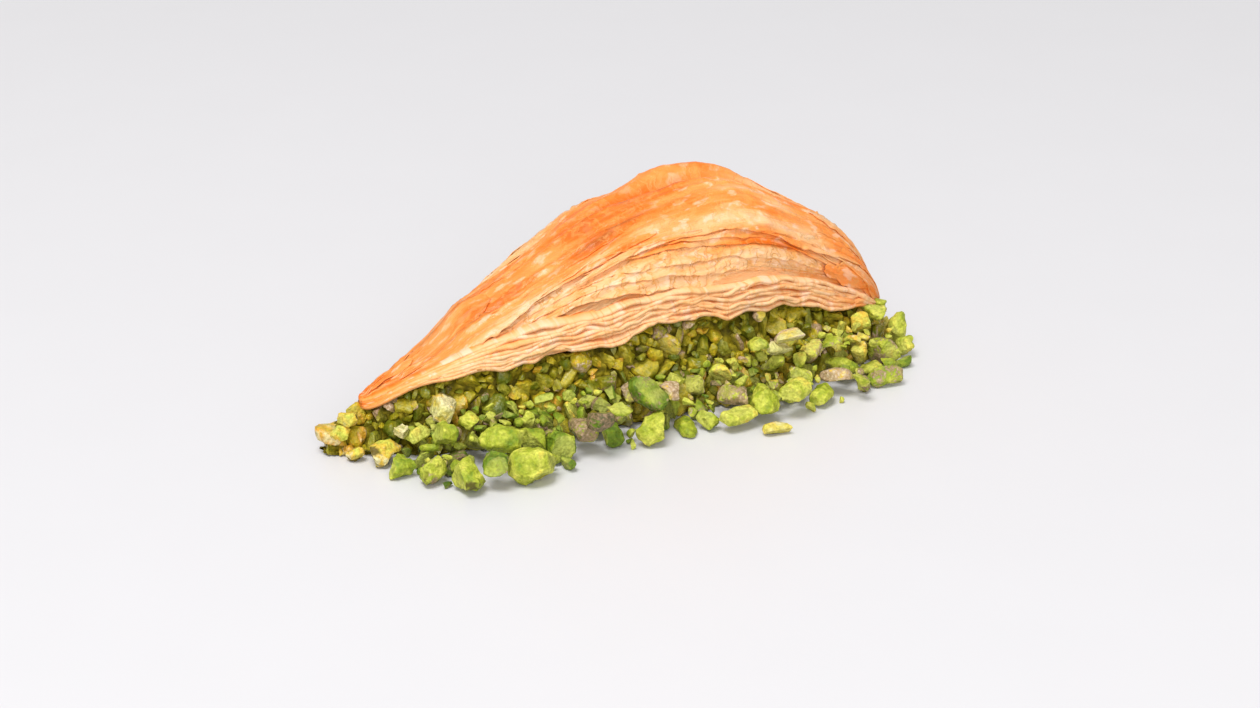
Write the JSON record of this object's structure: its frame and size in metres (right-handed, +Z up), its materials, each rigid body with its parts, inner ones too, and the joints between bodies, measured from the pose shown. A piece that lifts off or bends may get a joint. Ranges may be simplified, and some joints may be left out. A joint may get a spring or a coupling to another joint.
{
  "type": "baklava piece",
  "caption": "Mussel-shaped piece of baklava: a puffed, flaky filo pastry lying on a bed of chopped pistachio, with loose nuts spilled along its open side.",
  "frame": {"origin": "middle of the footprint, on the surface that the piece lies on", "axes": "+X along the pastry from its pointed tip to its blunt end, +Z up; the open side with the spilled nuts faces -Y"},
  "size_m": [0.1764, 0.0872, 0.0574],
  "materials": {
    "filo": "flaky baked filo, browned and syrup-glossed on the crust, cream at the sheets' edges",
    "pistachio_filling": "moist chopped pistachio, olive and yellow-green",
    "pistachio": "raw pistachio kernels, lime to leaf green with brown-purple skin"
  },
  "bodies": {
    "root": {"pastry": "filo", "filling": "pistachio_filling", "loose_nuts": "pistachio"}
  },
  "joints": []
}
